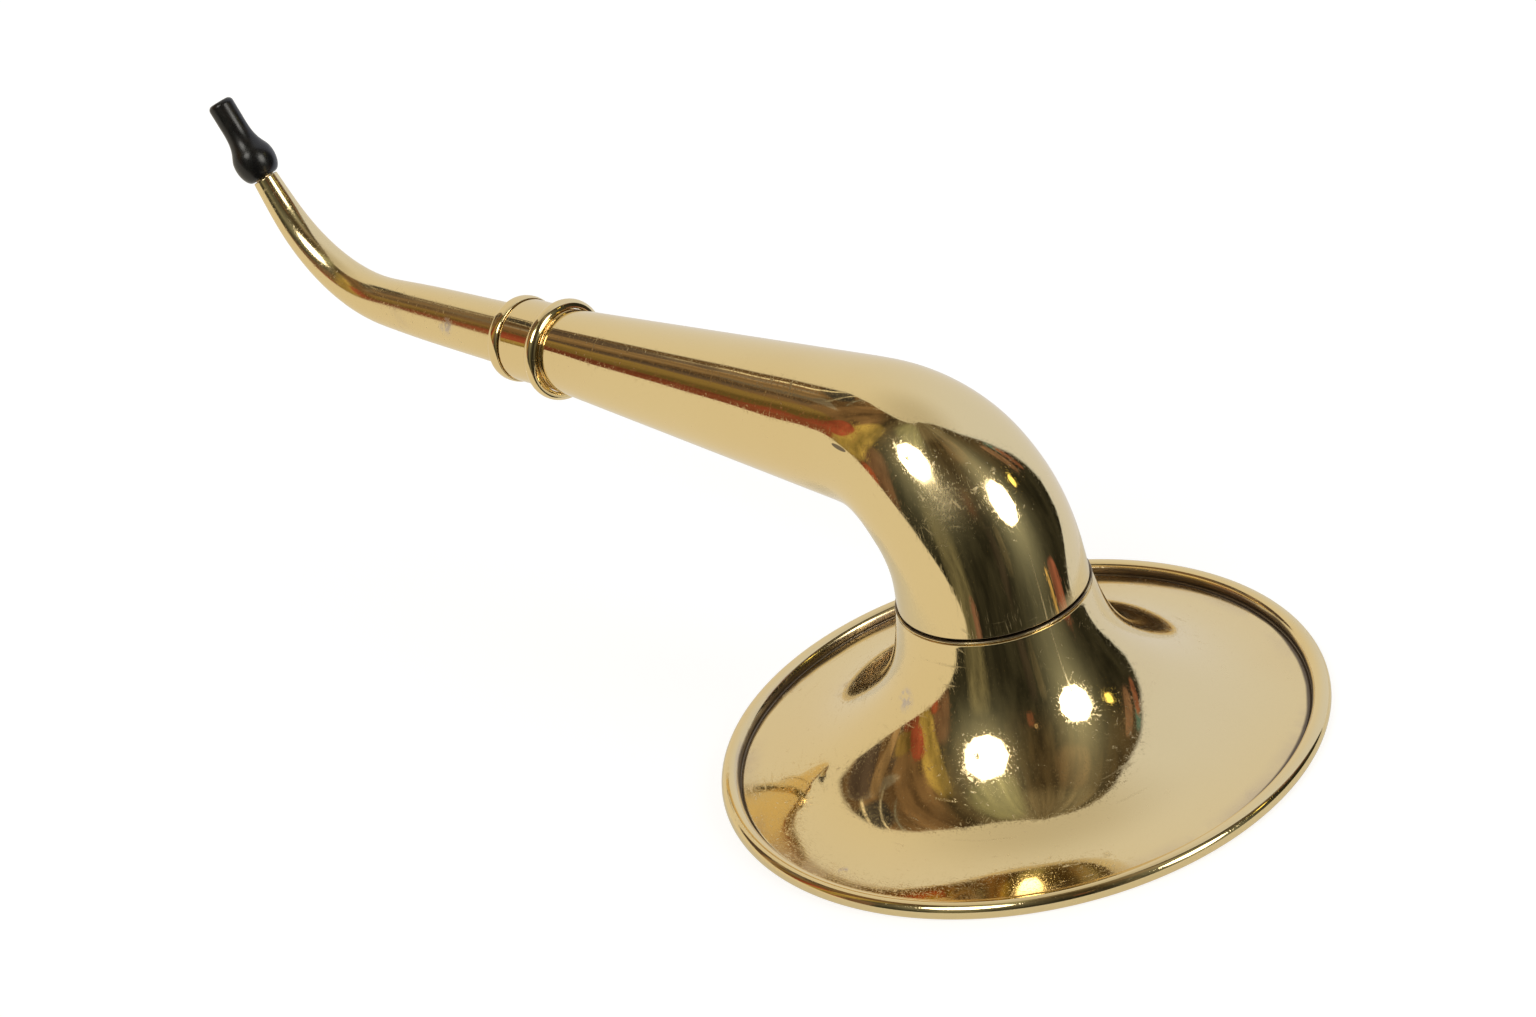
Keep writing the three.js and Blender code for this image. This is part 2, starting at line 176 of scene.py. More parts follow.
class Route:
    """The tubes' centre line by distance from the seam: (reach from the bell's axis, height), direction."""

    def __init__(self):
        self.elbow_start = ELBOW_RISE
        elbow_sweep = math.pi / 2 + DROOP
        self.elbow_end = self.elbow_start + ELBOW_RADIUS * elbow_sweep
        reach = ELBOW_RADIUS - ELBOW_RADIUS * math.cos(elbow_sweep)
        self.bend_start = self.elbow_end + (EAR_BEND_START - reach) / math.cos(DROOP)
        self.bend_end = self.bend_start + EAR_BEND_RADIUS * (DROOP + EAR_RISE)
        self.length = self.bend_end + ROUTE_SPARE
        self.step = ROUTE_STEP
        at = np.arange(0, self.length, self.step)
        heading = self.headings(at)
        eased = self.eased(at)
        self.at, self.angle = at, eased
        exact, smooth = self.walk(heading), self.walk(eased)
        # the eased bends come out a hair elsewhere: the difference is spread along the way
        drift = np.zeros_like(smooth)
        marks = [0, self.elbow_end + PAST_BEND, self.bend_start - PAST_BEND,
                 self.bend_end + PAST_LAST_BEND, self.length]
        for axis in (0, 1):
            miss = [0.0] + [float(np.interp(m, at, exact[:, axis] - smooth[:, axis])) for m in marks[1:]]
            drift[:, axis] = np.interp(at, marks, miss)
        half = round(DRIFT_EASE / ROUTE_STEP)
        window = np.ones(2 * half + 1) / (2 * half + 1)
        for axis in (0, 1):
            padded = np.pad(drift[:, axis], half, mode="edge")
            drift[:, axis] = np.convolve(padded, window, mode="valid")
        self.points = smooth + drift

    def headings(self, at):
        """Direction above the horizontal, without easing."""
        turn = np.clip((at - self.elbow_start) / ELBOW_RADIUS, 0, math.pi / 2 + DROOP)
        rise = np.clip((at - self.bend_start) / EAR_BEND_RADIUS, 0, DROOP + EAR_RISE)
        return math.pi / 2 - turn + rise

    def eased(self, at):
        """The same with each bend's beginning and end drawn out."""
        spare = BEND_EASE + 1
        heading = self.headings(np.concatenate([at[0] - spare + np.arange(0, spare, self.step), at,
                                                at[-1] + np.arange(self.step, spare + self.step, self.step)]))
        n = int(BEND_EASE / self.step)
        window = np.hanning(2 * n + 1)
        window /= window.sum()
        out = np.convolve(heading, window, mode="same")
        first = int(round(spare / self.step))
        return out[first:first + len(at)]

    def walk(self, heading):
        steps = np.c_[np.cos(heading), np.sin(heading)] * self.step
        points = np.vstack([[0, SEAM_Z], [0, SEAM_Z] + np.cumsum((steps[1:] + steps[:-1]) / 2, axis=0)])
        return points

    def station(self, distance):
        """Point and direction in the frame, in mm."""
        reach = np.interp(distance, self.at, self.points[:, 0])
        height = np.interp(distance, self.at, self.points[:, 1])
        angle = np.interp(distance, self.at, self.angle)
        return (np.array([AXIS_X / MM - reach, 0, height]),
                np.array([-math.cos(angle), 0, math.sin(angle)]))

    def ring(self, distance):
        """place() for turned pieces whose heights are distances along the route."""
        def place(r, h, c, s):
            point, along = self.station(distance + h)
            side = np.array([0, 1.0, 0])
            up = np.cross(along, side)
            return point + r * (np.outer(c, side) + np.outer(s, up))
        return place

    def straight_ring(self, distance):
        """The same for a straight piece that stands on the route at one distance."""
        point, along = self.station(distance)
        side = np.array([0, 1.0, 0])
        up = np.cross(along, side)

        def place(r, h, c, s):
            return point + along * h + r * (np.outer(c, side) + np.outer(s, up))
        return place


route = Route()


def at_reach(reach):
    return route.bend_start - (EAR_BEND_START - reach) / math.cos(DROOP)


# ---- Bell ----


def smoothstep(x, low, high):
    t = min(1, max(0, (x - low) / (high - low)))
    return t * t * (3 - 2 * t)


def smooth_curve(points, steps):
    """A natural cubic spline through points: places and directions at even steps along it."""
    p = np.array(points, float)
    t = np.concatenate([[0], np.cumsum(np.hypot(*np.diff(p, axis=0).T))])
    h, n = np.diff(t), len(p)
    rows, sums = np.eye(n), np.zeros((n, 2))
    for i in range(1, n - 1):
        rows[i, i - 1:i + 2] = h[i - 1], 2 * (h[i - 1] + h[i]), h[i]
        sums[i] = 6 * ((p[i + 1] - p[i]) / h[i] - (p[i] - p[i - 1]) / h[i - 1])
    bend = np.linalg.solve(rows, sums)
    at = np.linspace(0, t[-1], steps + 1)
    k = np.clip(np.searchsorted(t, at, side="right") - 1, 0, n - 2)
    u, hk = ((at - t[k]) / h[k])[:, None], h[k][:, None]
    w = 1 - u
    place = w * p[k] + u * p[k + 1] + hk**2 / 6 * ((w**3 - w) * bend[k] + (u**3 - u) * bend[k + 1])
    way = (p[k + 1] - p[k]) / hk + hk / 6 * ((1 - 3 * w * w) * bend[k] + (3 * u * u - 1) * bend[k + 1])
    return place, way / np.linalg.norm(way, axis=1)[:, None]


def bell_profile():
    face, way = smooth_curve(FLARE, 130)
    outer = [tuple(q) for q in face]
    inner = [tuple(q) for q in face + SHEET * np.c_[way[:, 1], -way[:, 0]]]
    meet = math.pi + math.asin(MEET_DROP / BEAD_RADIUS)
    inside_meet = math.pi + HEM_ROOT
    hem_end = inside_meet - 2 * math.pi + HEM_OPEN
    flat = math.asin(REST_FLAT / 2 / BEAD_RADIUS)
    roll = (arc(BEAD_CENTRE, 0, BEAD_RADIUS, meet, -math.pi / 2 + flat, 56)
            + arc(BEAD_CENTRE, 0, BEAD_RADIUS, -math.pi / 2 - flat, hem_end, 12)
            + arc(BEAD_CENTRE, 0, BEAD_RADIUS - HEM_BORE, hem_end, inside_meet, 40))
    edge_radius, edge_height = outer[-1]
    groove = [(edge_radius + 0.12, edge_height - 0.25), (edge_radius + 0.3, edge_height - 0.32)]
    lip_top = SEAM_HEIGHT - GAP
    lip = arc(LIP_RADIUS - LIP_ROUND, lip_top - LIP_ROUND, LIP_ROUND, math.pi / 2, -math.pi / 3, 16)
    bore = (inner[0][0], lip_top)
    return ([bore] + lip + outer + groove + roll + inner[::-1])[::-1]


bell = turned("bell_spun", bell_profile(), BELL_SIDES, "bell", upright)
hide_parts("bell")

# ---- Body tube ----

body_end_at = at_reach(BODY_END)


def body_radius(d):
    cone = BODY_END_RADIUS + BODY_TAPER * (body_end_at - d)
    swell, swell_from, swell_to = ELBOW_SWELL
    waist, waist_from, waist_to = NECK_WAIST
    return (cone + swell * (1 - smoothstep(d, swell_from, swell_to))
            - waist * (1 - smoothstep(d, waist_from, waist_to)))


def tube_profile(start, end, radius, wall, edge):
    """A tube's wall along the route, with its outer edges eased."""
    near = 0.06  # rings close to the eased edges, so that the wall's shading stays straight
    stations = ([start + edge] + list(np.arange(start + edge + near, end - edge - near, 1.25))
                + [end - edge - near, end - edge])
    outer = ([(radius(start) - edge, start), (radius(start) - edge * 0.3, start + edge * 0.3)]
             + [(radius(d), d) for d in stations]
             + [(radius(end) - edge * 0.3, end - edge * 0.3), (radius(end) - edge, end)])
    inner = [(radius(d) - wall, d) for d in [start] + stations[::3] + [end]]
    return outer + inner[::-1]


body = turned("body_drawn", tube_profile(0, body_end_at, body_radius, SHEET, 0.3), BODY_SIDES, "body",
              route.ring(0))
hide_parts("body_tube")

# ---- Ferrule ----


def sleeve_profile():
    end = SLEEVE_END - BODY_END
    seat = BEADS["small"][0] - BEADS["small"][1] / 2 - GAP - BODY_END
    spigot = [(SPIGOT_BORE, -SPIGOT_LENGTH), (SPIGOT_RADIUS, -SPIGOT_LENGTH), (SPIGOT_RADIUS, GAP)]
    barrel = [(SLEEVE_RADIUS - EASE, GAP), (SLEEVE_RADIUS, GAP + EASE)]
    barrel += [(SLEEVE_RADIUS, h) for h in np.arange(1, seat - 0.2, 0.8)]
    barrel += [(SLEEVE_RADIUS, seat - 0.1), (SLEEVE_RADIUS - 0.1, seat)]
    mouth = [(SEAT_RADIUS, seat), (SEAT_RADIUS, end), (FERRULE_BORE, end), (FERRULE_BORE, FERRULE_FLOOR),
             (SPIGOT_BORE, FERRULE_FLOOR)]
    return spigot + barrel + mouth


def bead_profile(width, radius, bore, lip_bore=None):
    half = width / 2
    crown = radius - bore - BEAD_SHOULDER
    outside = [(radius - crown * (1 - math.cos(a)), half * math.sin(a))
               for a in np.linspace(-math.pi / 2, math.pi / 2, 49)]
    if lip_bore is None:
        return [(bore, -half)] + outside + [(bore, half)]
    return [(bore, -half)] + outside + [(lip_bore + EASE, half), (lip_bore, half - EASE),
                                        (lip_bore, half - LIP_THICK), (bore, half - LIP_THICK)]


sleeve = turned("ferrule_sleeve_turned", sleeve_profile(), SMALL_SIDES, "body",
                route.straight_ring(body_end_at))
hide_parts("ferrule_sleeve")
bead_pieces = []
for size, (reach, width, radius) in BEADS.items():
    profile = (bead_profile(width, radius, SLEEVE_RADIUS + GAP) if size == "large"
               else bead_profile(width, radius, SEAT_RADIUS + GAP, FERRULE_BORE))
    bead = turned(f"ferrule_bead_{size}_turned", profile, SMALL_SIDES, "body",
                  route.straight_ring(at_reach(reach)))
    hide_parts(f"ferrule_bead_{size}")
    bead_pieces.append(bead)

# ---- Ear tube ----

MOUTH = BEADS["small"][0] + BEADS["small"][1] / 2


def ear_radius(d):
    past = max(0, d - at_reach(MOUTH))
    knee = past - EAR_KNEE
    softened = (knee + math.sqrt(knee * knee + KNEE_EASE**2)) / 2
    return EAR_ROOT_RADIUS - EAR_TAPERS[0] * past - (EAR_TAPERS[1] - EAR_TAPERS[0]) * softened


ear_end_at = route.bend_end + EAR_BEYOND
ear_tube = turned("ear_tube_drawn",
                  tube_profile(at_reach(BODY_END + EAR_INSIDE), ear_end_at, ear_radius, EAR_SHEET, 0.2),
                  SMALL_SIDES, "ear_tube", route.ring(0))
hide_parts("ear_tube")

# ---- Ear tip ----


def tip_profile():
    length, hole, end_round, shank = 23.5, 1.5, 1.4, 3.57
    socket, bore_end = 3.0, 11.5
    bulb = bezier([(3.45, 0), (5.6, 0.4), (6.6, 5.4), (5.1, 8.2)], 30)
    neck = bezier([(5.1, 8.2), (4.3, 9.8), (3.57, 11.2), (3.52, 15.2)], 20)[1:]
    top = arc(shank - end_round, length - end_round, end_round, 0, math.pi / 2, 12)
    return ([(socket, 0)] + bulb + neck + top
            + [(hole + 0.25, length), (hole, length - 0.25), (hole, bore_end), (socket, bore_end)])


ear_tip = turned("ear_tip_turned", tip_profile(), TIP_SIDES, "ear_tip",
                 route.straight_ring(ear_end_at + GAP))
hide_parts("ear_tip")

# ---- Node helpers ----


class Nodes:
    """Short calls for making a node tree."""

    def __init__(self, tree):
        self.tree = tree

    def add(self, kind, inputs=(), **props):
        node = self.tree.nodes.new(kind)
        for key, value in props.items():
            setattr(node, key, value)
        for key, value in dict(inputs).items():
            if isinstance(value, bpy.types.NodeSocket):
                self.tree.links.new(value, node.inputs[key])
            else:
                node.inputs[key].default_value = value
        return node

    def math(self, operation, a, b=0.0, c=0.0, clamp=False):
        return self.add("ShaderNodeMath", {0: a, 1: b, 2: c}, operation=operation, use_clamp=clamp).outputs[0]

    def times(self, a, b):
        return self.math("MULTIPLY", a, b)

    def plus(self, a, b):
        return self.math("ADD", a, b)

    def minus(self, a, b):
        return self.math("SUBTRACT", a, b)

    def most(self, a, b):
        return self.math("MAXIMUM", a, b)

    def ramp(self, value, low, high, first=0.0, last=1.0):
        """first at low, last at high, smooth between."""
        node = self.add("ShaderNodeMapRange", {0: value, 1: low, 2: high, 3: first, 4: last})
        node.interpolation_type = "SMOOTHSTEP"
        return node.outputs[0]

    def curve(self, value, points):
        """A broken line through (value, result) points."""
        (low, _), (high, _) = points[0], points[-1]
        results = [r for _, r in points]
        least, most = min(results), max(results)
        node = self.add("ShaderNodeFloatCurve")
        line = node.mapping.curves[0]
        spots = [((v - low) / (high - low), (r - least) / (most - least)) for v, r in points]
        line.points[0].location, line.points[1].location = spots[0], spots[-1]
        for spot in spots[1:-1]:
            line.points.new(*spot)
        for point in line.points:
            point.handle_type = "VECTOR"
        node.mapping.update()
        scaled = self.math("DIVIDE", self.minus(value, low), high - low, clamp=True)
        self.tree.links.new(scaled, node.inputs["Value"])
        return self.math("MULTIPLY_ADD", node.outputs[0], most - least, least)

    def mix(self, factor, a, b, blend="MIX"):
        node = self.tree.nodes.new("ShaderNodeMix")
        node.data_type, node.blend_type = "RGBA", blend
        for key, value in (("Factor", factor), ("A", a), ("B", b)):
            socket = [s for s in node.inputs if s.name == key and s.enabled][0]
            if isinstance(value, bpy.types.NodeSocket):
                self.tree.links.new(value, socket)
            else:
                socket.default_value = (*value, 1) if isinstance(value, tuple) and len(value) == 3 else value
        return [s for s in node.outputs if s.enabled][0]

    def noise(self, vector, scale, detail=2.0, rough=0.5, distortion=0.0):
        return self.add("ShaderNodeTexNoise", {"Vector": vector, "Scale": scale, "Detail": detail,
                                               "Roughness": rough, "Distortion": distortion}).outputs["Fac"]

    def vector(self, x, y, z):
        return self.add("ShaderNodeCombineXYZ", {0: x, 1: y, 2: z}).outputs[0]

    def parts(self, vector):
        return self.add("ShaderNodeSeparateXYZ", {0: vector}).outputs[:3]

    def dot(self, vector, with_vector):
        node = self.add("ShaderNodeVectorMath", {0: vector, 1: with_vector}, operation="DOT_PRODUCT")
        return node.outputs["Value"]

    def stretched(self, vector, turn, scale):
        """The vector turned, then scaled by a different amount along each axis."""
        return self.add("ShaderNodeMapping", {"Vector": vector, "Rotation": turn, "Scale": scale}).outputs[0]

    def distance(self, vector, point):
        node = self.add("ShaderNodeVectorMath", {0: vector, 1: point}, operation="DISTANCE")
        return node.outputs["Value"]

    def near(self, vector, point, far, close):
        """1 within close of a point, 0 beyond far."""
        return self.ramp(self.distance(vector, point), far, close)

    def bump(self, height, distance, strength=1.0, normal=None):
        inputs = {"Height": height, "Distance": distance, "Strength": strength}
        if normal is not None:
            inputs["Normal"] = normal
        return self.add("ShaderNodeBump", inputs).outputs[0]


def material(name):
    mat = bpy.data.materials.new(name)
    mat.use_nodes = True
    mat.node_tree.nodes.clear()
    n = Nodes(mat.node_tree)
    shader = n.add("ShaderNodeBsdfPrincipled")
    n.add("ShaderNodeOutputMaterial", {"Surface": shader.outputs[0]})
    return mat, n, shader


def connect(n, shader, **sockets):
    for key, value in sockets.items():
        n.tree.links.new(value, shader.inputs[key.replace("_", " ")])


# ---- Brass ----

BRASS = (0.89, 0.72, 0.40)
TARNISH = (0.50, 0.40, 0.36)
# dark grime; also the colour of the painted shade in the groove inside the rim
GRIME_AND_SHADE = (0.10, 0.075, 0.065)
SMUDGES = [((AXIS_X - 0.0085, -0.0275, 0.0253), 0.0040), ((-0.083, -0.0071, 0.0812), 0.0035),
           ((AXIS_X - 0.001, -0.0648, 0.0020), 0.0016)]  # grey finger marks: place and reach
NICK = (Vector((0.0679, -0.0172, 0.0866)), Vector((0.0727, -0.0177, 0.0859)))  # its ends, under the cone
HANDLED = (AXIS_X + 0.0075, -0.0155, 0.0765)  # middle of the haze on the elbow's outer side
HANDLED_REACH = 0.0160
SCRATCH_ANGLE = -0.252  # of the long scratch, round the bell's axis from +X
STROKES_FINE = 820.0  # how closely the cloth's strokes lie
RINGS_FINE = 900.0  # and the lathe's rings


def scratches(n, place, turns, across, along, low=0.66, high=0.80):
    """Fine hairlines in several directions: 0 clean, 1 in a scratch."""
    total = 0.0
    for turn in turns:
        field = n.noise(n.stretched(place, turn, (across, across, along)), 1.0, 1.0, 0.5)
        total = n.most(total, n.ramp(field, low, high))
    return total


def polished_brass(name, spun=False, waver=0.0005, dulled=0.0):
    """Old polished sheet brass. spun adds the faint rings that a lathe leaves round the bell's axis, and
    dulled is how much softer than the rest the piece shines."""
    mat, n, shader = material(name)
    place = n.add("ShaderNodeTexCoord").outputs["Object"]
    x, y, z = n.parts(place)
    x = n.minus(x, AXIS_X)
    radius = n.math("SQRT", n.plus(n.times(x, x), n.times(y, y)))
    angle = n.math("ARCTAN2", y, x)

    hue = n.mix(n.ramp(n.noise(place, 16.0, 3.0), 0.35, 0.65), BRASS, (0.875, 0.695, 0.375))
    cloud = n.noise(place, 34.0, 5.0, 0.62, 0.6)
    smudge = n.ramp(cloud, 0.63, 0.80)
    haze = n.ramp(n.noise(place, 60.0, 4.0, 0.6, 1.2), 0.50, 0.80)
    spots = n.add("ShaderNodeTexVoronoi", {"Vector": place, "Scale": 42.0})
    chosen = n.ramp(n.parts(spots.outputs["Color"])[0], 0.80, 0.82)
    dark_marks = n.times(n.ramp(spots.outputs["Distance"], 0.022, 0.014), chosen)
    if not spun:  # a dark band on the tube's edge at the seam
        dark_marks = n.most(dark_marks, n.ramp(z, (SEAM_Z + 0.50) * MM, (SEAM_Z + 0.30) * MM))
        # the nick is a thin ellipse round its two ends
        spread = n.plus(n.distance(place, NICK[0]), n.distance(place, NICK[1]))
        span = (NICK[1] - NICK[0]).length
        dark_marks = n.most(dark_marks, n.ramp(spread, span + 0.00016, span + 0.00005))
    swirls = [(0.4, 0.2, 0.0), (1.3, 0.5, 0.4), (-0.8, 0.9, 1.1), (0.1, 1.6, 0.7)]
    hair = scratches(n, place, swirls, 2300.0, 60.0, 0.64, 0.76)
    # longer strokes of the polishing cloth, round the axis and a little across it
    strokes = 0.0
    for climb, first in ((0.0, 0.0), (16.0, 7.3), (-24.0, 3.1), (60.0, 5.2)):
        out = n.plus(n.times(radius, STROKES_FINE), first)
        over = n.math("MULTIPLY_ADD", angle, climb, n.times(z, STROKES_FINE))
        way = n.vector(out, over, n.times(angle, 3.2))
        strokes = n.most(strokes, n.ramp(n.noise(way, 1.0, 1.0, 0.5), 0.66, 0.78))
    strokes = n.times(strokes, n.ramp(n.noise(place, 48.0, 2.0), 0.30, 0.62, 0.25, 1.0))
    # one long scratch down the elbow and across the seam
    off_line = n.plus(angle, n.math("MULTIPLY_ADD", n.noise(place, 70.0, 1.0), 0.03, -SCRATCH_ANGLE))
    gouge = n.times(n.ramp(n.times(n.math("ABSOLUTE", off_line), radius), 0.00026, 0.00010),
                    n.times(n.ramp(z, 0.022, 0.027), n.ramp(z, 0.066, 0.058)))
    fine = n.noise(place, 1500.0, 3.0, 0.6)

    colour = n.mix(n.times(smudge, 0.35), hue, TARNISH)
    colour = n.mix(n.times(dark_marks, 0.85), colour, GRIME_AND_SHADE)
    rough = n.plus(n.math("MULTIPLY_ADD", haze, 0.035, 0.035), n.times(smudge, 0.10))
    rough = n.plus(rough, n.plus(n.times(hair, 0.13), n.times(strokes, 0.22)))
    rough = n.plus(rough, n.times(gouge, 0.25))
    if dulled:
        rough = n.plus(rough, dulled)
    if not spun:
        rough = n.plus(rough, n.times(n.near(place, HANDLED, HANDLED_REACH, -0.004), 0.28))
    for spot, size in SMUDGES:
        broken = n.ramp(n.noise(place, 420.0, 4.0, 0.65), 0.38, 0.60)
        dull = n.times(n.near(place, spot, size, size * 0.3), broken)
        colour = n.mix(n.times(dull, 0.60), colour, (0.52, 0.49, 0.56))
        rough = n.plus(rough, n.times(dull, 0.20))
    height = n.math("MULTIPLY_ADD", hair, -0.0000026, n.times(fine, 0.0000008))
    height = n.math("MULTIPLY_ADD", gouge, -0.0000060, height)
    if spun:
        way = n.vector(n.times(radius, RINGS_FINE), n.times(z, RINGS_FINE), n.times(angle, 5.0))
        rings = n.noise(way, 1.0, 3.0, 0.65)
        rough = n.plus(rough, n.times(n.ramp(rings, 0.45, 0.75), 0.05))
        height = n.plus(height, n.times(rings, 0.0000030))
        # painted shade and grime in the groove inside the rim, the painted shade widest on the side of the
        # elbow's back
        uneven = n.times(n.minus(n.noise(place, 45.0, 3.0), 0.5), 0.0010)
        unit = n.math("DIVIDE", n.plus(radius, uneven), MM)
        # where the groove's painted shade is drawn wider
        wide_shade = n.ramp(n.math("COSINE", n.minus(angle, 0.5)), -0.1, 0.9)
        inner = n.math("MULTIPLY_ADD", wide_shade, -1.1, FLARE[-1][0] - 0.3)
        groove = n.times(n.ramp(n.minus(unit, inner), 0.0, 0.7),
                         n.ramp(unit, BEAD_CENTRE - BEAD_RADIUS + 0.55, BEAD_CENTRE - BEAD_RADIUS + 0.1))
        # a dark band along the lip's top edge, at the seam
        seam = n.ramp(z, (SEAM_Z - GAP - 0.28) * MM, (SEAM_Z - GAP - 0.12) * MM)
        groove = n.most(groove, n.times(seam, n.ramp(n.noise(place, 160.0, 3.0), 0.30, 0.55, 0.45, 1.0)))
        stain = n.times(n.ramp(unit, FLARE[-1][0] - 6.0, FLARE[-1][0]), n.ramp(cloud, 0.42, 0.62))
        stain = n.times(stain, n.ramp(unit, BEAD_CENTRE - 1.0, BEAD_CENTRE - 1.6))
        colour = n.mix(n.times(stain, 0.35), colour, TARNISH)
        # the groove's painted shade and grime, and the seam's dark band
        colour = n.mix(n.times(groove, 0.88), colour, GRIME_AND_SHADE)
        rough = n.plus(rough, n.plus(n.times(groove, 0.3), n.times(stain, 0.12)))
    dents = n.noise(place, 26.0, 1.0, 0.4)
    normal = n.bump(dents, waver)
    normal = n.bump(height, 1.0, 1.0, normal)
    connect(n, shader, Base_Color=colour, Roughness=rough, Normal=normal)
    shader.inputs["Metallic"].default_value = 1.0
    return mat


def turned_brass():
    """Brass left as it came off the lathe, with fine tool marks and dull patches."""
    mat, n, shader = material("turned_brass")
    place = n.add("ShaderNodeTexCoord").outputs["Object"]
    marks = n.noise(n.stretched(place, (0, 0, 0), (300.0, 300.0, 4200.0)), 1.0, 2.0, 0.6)
    dull = n.ramp(n.noise(place, 90.0, 4.0, 0.6), 0.42, 0.68)
    colour = n.mix(dull, (0.80, 0.62, 0.33), (0.55, 0.42, 0.27))
    rough = n.plus(n.math("MULTIPLY_ADD", dull, 0.16, 0.16), n.times(marks, 0.10))
    connect(n, shader, Base_Color=colour, Roughness=rough, Normal=n.bump(marks, 0.00002))
    shader.inputs["Metallic"].default_value = 1.0
    return mat


def iron_wire():
    """Drawn iron wire, browned by old rust."""
    mat, n, shader = material("iron_wire")
    place = n.add("ShaderNodeTexCoord").outputs["Object"]
    rust = n.ramp(n.noise(place, 220.0, 5.0, 0.65), 0.40, 0.62)
    colour = n.mix(rust, (0.20, 0.19, 0.18), (0.16, 0.075, 0.04))
    connect(n, shader, Base_Color=colour, Roughness=n.math("MULTIPLY_ADD", rust, 0.35, 0.42),
            Metallic=n.minus(1.0, rust), Normal=n.bump(n.noise(place, 1400.0, 3.0), 0.00006))
    return mat


def ebonite():
    """Hard rubber, black with a soft gloss, a little brown and dull where it is handled."""
    mat, n, shader = material("ebonite")
    place = n.add("ShaderNodeTexCoord").outputs["Object"]
    worn = n.ramp(n.noise(place, 170.0, 5.0, 0.6, 0.5), 0.48, 0.72)
    swirls = [(0.5, 0.1, 0.0), (1.4, 0.6, 0.2), (-0.6, 1.0, 0.5)]
    hair = scratches(n, place, swirls, 3800.0, 130.0, 0.70, 0.82)
    dust = n.ramp(n.noise(place, 5200.0, 1.0), 0.70, 0.78)
    colour = n.mix(worn, (0.0075, 0.0075, 0.008), (0.016, 0.013, 0.011))
    colour = n.mix(n.times(dust, 0.05), colour, (0.20, 0.19, 0.18))
    rough = n.plus(n.math("MULTIPLY_ADD", worn, 0.05, 0.27), n.times(hair, 0.05))
    ripple = n.bump(n.noise(place, 120.0, 1.0), 0.00003)
    connect(n, shader, Base_Color=colour, Roughness=rough, Normal=n.bump(hair, -0.000001, 1.0, ripple))
    return mat


def paint(obj, mat):
    obj.data.materials.clear()
    obj.data.materials.append(mat)


tube_brass = polished_brass("polished_brass")
bell_brass = polished_brass("polished_brass_spun", spun=True, waver=0.00045)
ear_brass = polished_brass("polished_brass_ear", waver=0.0004, dulled=0.09)
lathe_brass = turned_brass()
paint(bell, bell_brass)
paint(ear_tube, ear_brass)
for part in [body, sleeve] + bead_pieces:
    paint(part, tube_brass)
paint(ear_tip, ebonite())
for node_name in ("neck_socket", "neck_tenon", "ear_tenon", "ear_nipple"):
    paint(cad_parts[node_name], lathe_brass)
paint(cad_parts["rim_wire"], iron_wire())

# ---- Floor ----

TURN = math.radians(50.242)  # the camera's direction round the vertical, from -Y towards +X
FRONT = (math.sin(TURN), -math.cos(TURN), 0.0)
SIDE = (math.cos(TURN), math.sin(TURN), 0.0)


def floor_plane(size, z):
    half = size / 2
    obj = new_object("floor", [(-half, -half, z), (half, -half, z), (half, half, z), (-half, half, z)],
                     [(0, 1, 2, 3)], None, smooth=False)
    obj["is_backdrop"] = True
    return obj


FLOOR_SIZE = 12.0
FLOOR_Z = -0.0002
CLOTH_END, CLOTH_FADE = 0.118, 0.104  # distances from the bell's axis
floor = floor_plane(FLOOR_SIZE, FLOOR_Z)
floor_mat = bpy.data.materials.new("pale_floor")
floor_mat.use_nodes = True
floor_mat.node_tree.nodes.clear()
fn = Nodes(floor_mat.node_tree)
seen = fn.add("ShaderNodeLightPath").outputs["Is Camera Ray"]
x, y, _ = fn.parts(fn.add("ShaderNodeTexCoord").outputs["Object"])
x = fn.minus(x, AXIS_X)
span = fn.math("SQRT", fn.plus(fn.times(x, x), fn.times(y, y)))
# the brass sees the pale cloth only close to the bell, and past it the tent and the room
cloth = fn.most(seen, fn.ramp(span, CLOTH_END, CLOTH_FADE))
tone = fn.mix(seen, (0.42, 0.41, 0.37), (0.80, 0.80, 0.80))
emit = fn.add("ShaderNodeEmission", {"Color": tone, "Strength": 1.0})
pale = fn.add("ShaderNodeBsdfDiffuse", {"Color": (0.36, 0.36, 0.36, 1)})
both = fn.add("ShaderNodeAddShader", {0: emit.outputs[0], 1: pale.outputs[0]})
clear = fn.add("ShaderNodeBsdfTransparent")
floor_look = fn.add("ShaderNodeMixShader", {0: cloth, 1: clear.outputs[0], 2: both.outputs[0]})
fn.add("ShaderNodeOutputMaterial", {"Surface": floor_look.outputs[0]})
paint(floor, floor_mat)

# ---- World: a pale light tent, open towards the camera and the dark room behind it ----

world = bpy.data.worlds.new("studio")
bpy.context.scene.world = world
world.use_nodes = True
world.node_tree.nodes.clear()
wn = Nodes(world.node_tree)
ray = wn.add("ShaderNodeTexCoord").outputs["Generated"]
to_front, to_side, upward = wn.dot(ray, FRONT), wn.dot(ray, SIDE), wn.parts(ray)[2]
DEGREE = 180 / math.pi
azimuth = wn.times(wn.math("ARCTAN2", to_side, to_front), DEGREE)  # 0 towards the camera
elevation = wn.times(wn.math("ARCSINE", upward), DEGREE)

# (elevation, azimuth) of the tent's opening, left and right
OPENING_LEFT = [(-38, -37), (-28, -40), (-15, -52), (-5, -66), (3, -79), (8, -90), (12, -106), (16, -126),
                (20, -139), (27, -143), (40, -141), (50, -137), (60, -126), (70, -105), (78, -78), (83, -57),
                (86, -38), (88, 8)]
OPENING_RIGHT = [(-38, 80), (-28, 92), (-20, 100), (-10, 114), (0, 117), (10, 113), (20, 108), (30, 101),
                 (45, 93), (60, 84), (70, 82), (78, 80), (83, 71), (86, 50), (88, 8)]


